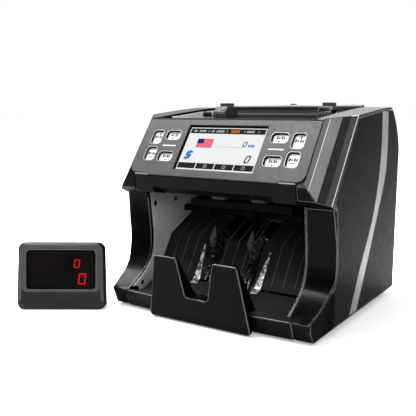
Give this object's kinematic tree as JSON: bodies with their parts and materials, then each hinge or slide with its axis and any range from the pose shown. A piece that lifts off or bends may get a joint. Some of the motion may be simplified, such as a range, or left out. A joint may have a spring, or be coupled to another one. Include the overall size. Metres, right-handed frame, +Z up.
{
  "type": "counterfeit bill detector",
  "caption": "Bench-top banknote counter and counterfeit detector: sloping control panel, rear hopper, front stacker with finned wheels, and a separate customer display.",
  "frame": {"origin": "centre of the set's footprint, on the surface it stands on", "axes": "+X to the operator's right, +Y from the operator to the back of the machine, +Z up"},
  "size_m": [0.3466, 0.3168, 0.233],
  "materials": {
    "gloss_black": "moulded black plastic, semi-gloss",
    "satin_black": "moulded black plastic, fine satin texture",
    "dark_grey": "moulded charcoal plastic",
    "pewter": "pewter paint with fine metallic flake",
    "silver_trim": "silver paint, satin",
    "key_white": "white key caps with dark symbols",
    "zinc_plate": "zinc-plated sheet steel",
    "bright_steel": "bright steel",
    "rubber": "soft black rubber",
    "belt_rubber": "black drive belt",
    "circuit_board": "green circuit board",
    "lcd": "lit colour screen",
    "smoked_window": "smoked red-black window with red digits"
  },
  "bodies": {
    "chassis": {"base_tray": "gloss_black", "bill_stop": "gloss_black", "stacker_plate": "gloss_black", "wear_strip_left": "bright_steel", "wear_strip_right": "bright_steel", "side_cover_left": "gloss_black", "side_cover_right": "gloss_black", "side_panel_left": "satin_black", "side_panel_right": "satin_black", "trim_strip_left": "silver_trim", "trim_strip_right": "silver_trim", "chassis_plate_left": "zinc_plate", "chassis_plate_right": "zinc_plate", "control_housing": "gloss_black", "control_overlay": "pewter", "screen_frame": "gloss_black", "screen_panel": "lcd", "key_board": "circuit_board", "hopper_floor": "satin_black", "hopper_back": "dark_grey", "feed_throat": "satin_black", "retard_roller": "rubber", "drive_motor": "zinc_plate", "feed_belt": "belt_rubber", "stacker_belt": "belt_rubber", "sensor_bar_front": "dark_grey", "sensor_bar_rear": "dark_grey", "transport_frame": "satin_black", "main_board": "circuit_board", "power_supply": "zinc_plate", "rear_panel": "satin_black", "foot_front_left": "rubber", "foot_rear_left": "rubber", "foot_front_right": "rubber", "foot_rear_right": "rubber"},
    "key_print_left": {"key_print_left": "key_white"},
    "key_mode_left": {"key_mode_left": "key_white"},
    "key_batch_left": {"key_batch_left": "key_white"},
    "key_clear_left": {"key_clear_left": "key_white"},
    "key_print_right": {"key_print_right": "key_white"},
    "key_mode_right": {"key_mode_right": "key_white"},
    "key_batch_right": {"key_batch_right": "key_white"},
    "key_clear_right": {"key_clear_right": "key_white"},
    "note_guide_right": {"note_guide_right": "dark_grey"},
    "note_guide_left": {"note_guide_left": "dark_grey"},
    "motor_rotor": {"motor_pulley": "bright_steel"},
    "feed_rotor": {"feed_shaft": "bright_steel", "feed_roller": "rubber"},
    "pickup_rotor": {"pickup_roller": "rubber"},
    "delivery_rotor": {"delivery_roller": "rubber"},
    "stacker_rotor": {"stacker_shaft": "bright_steel", "impeller_left": "rubber", "impeller_right": "rubber"},
    "rear_door": {"rear_door": "satin_black"},
    "rocker_switch": {"rocker_switch": "gloss_black"},
    "adjust_knob": {"adjust_knob": "satin_black"},
    "customer_display": {"display_front": "satin_black", "display_back": "satin_black", "display_window": "smoked_window"}
  },
  "joints": [
    {"name": "key_print_left_press", "type": "slide", "parent": "chassis", "child": "key_print_left", "axis": [0, 0.808, -0.5892], "range_m": [0, 0.0012], "stiffness_N_per_m": 800},
    {"name": "key_mode_left_press", "type": "slide", "parent": "chassis", "child": "key_mode_left", "axis": [0, 0.808, -0.5892], "range_m": [0, 0.0012], "stiffness_N_per_m": 800},
    {"name": "key_batch_left_press", "type": "slide", "parent": "chassis", "child": "key_batch_left", "axis": [0, 0.808, -0.5892], "range_m": [0, 0.0012], "stiffness_N_per_m": 800},
    {"name": "key_clear_left_press", "type": "slide", "parent": "chassis", "child": "key_clear_left", "axis": [0, 0.808, -0.5892], "range_m": [0, 0.0012], "stiffness_N_per_m": 800},
    {"name": "key_print_right_press", "type": "slide", "parent": "chassis", "child": "key_print_right", "axis": [0, 0.808, -0.5892], "range_m": [0, 0.0012], "stiffness_N_per_m": 800},
    {"name": "key_mode_right_press", "type": "slide", "parent": "chassis", "child": "key_mode_right", "axis": [0, 0.808, -0.5892], "range_m": [0, 0.0012], "stiffness_N_per_m": 800},
    {"name": "key_batch_right_press", "type": "slide", "parent": "chassis", "child": "key_batch_right", "axis": [0, 0.808, -0.5892], "range_m": [0, 0.0012], "stiffness_N_per_m": 800},
    {"name": "key_clear_right_press", "type": "slide", "parent": "chassis", "child": "key_clear_right", "axis": [0, 0.808, -0.5892], "range_m": [0, 0.0012], "stiffness_N_per_m": 800},
    {"name": "note_guide_slide", "type": "slide", "parent": "chassis", "child": "note_guide_right", "axis": [1, 0, 0], "range_m": [-0.011, 0.0175]},
    {"name": "note_guide_follow", "type": "slide", "parent": "chassis", "child": "note_guide_left", "axis": [-1, 0, 0], "range_m": [-0.011, 0.0175]},
    {"name": "motor_spin", "type": "hinge", "parent": "chassis", "child": "motor_rotor", "pos_m": [0.0423, 0.09226, 0.04], "axis": [1, 0, 0], "continuous": true},
    {"name": "feed_spin", "type": "hinge", "parent": "chassis", "child": "feed_rotor", "pos_m": [0.0423, 0.02126, 0.128], "axis": [1, 0, 0], "continuous": true},
    {"name": "pickup_spin", "type": "hinge", "parent": "chassis", "child": "pickup_rotor", "pos_m": [0.0423, 0.03926, 0.154], "axis": [1, 0, 0], "continuous": true},
    {"name": "delivery_spin", "type": "hinge", "parent": "chassis", "child": "delivery_rotor", "pos_m": [0.0423, 0.02726, 0.104], "axis": [1, 0, 0], "continuous": true},
    {"name": "stacker_spin", "type": "hinge", "parent": "chassis", "child": "stacker_rotor", "pos_m": [0.0423, 0.00376, 0.046], "axis": [1, 0, 0], "continuous": true},
    {"name": "rear_door_hinge", "type": "hinge", "parent": "chassis", "child": "rear_door", "pos_m": [0.0423, 0.15176, 0.07], "axis": [-1, 0, 0], "range_deg": [0, 75]},
    {"name": "rocker_switch_tilt", "type": "hinge", "parent": "chassis", "child": "rocker_switch", "pos_m": [-0.0057, 0.15476, 0.034], "axis": [1, 0, 0], "range_deg": [0, 14]},
    {"name": "adjust_knob_turn", "type": "hinge", "parent": "chassis", "child": "adjust_knob", "pos_m": [0.0423, 0.12486, 0.221], "axis": [0, 0.8044, 0.5941], "range_deg": [-270, 270]},
    {"name": "customer_display_place", "type": "slide", "parent": "chassis", "child": "customer_display", "axis": [-1, 0, 0], "range_m": [0, 0.12]}
  ],
  "couplings": [
    {"joint": "note_guide_follow", "follows": "note_guide_slide", "ratio": 1},
    {"joint": "feed_spin", "follows": "motor_spin", "ratio": 0.5},
    {"joint": "pickup_spin", "follows": "motor_spin", "ratio": 0.5},
    {"joint": "delivery_spin", "follows": "motor_spin", "ratio": -0.872},
    {"joint": "stacker_spin", "follows": "motor_spin", "ratio": 0.58333}
  ]
}
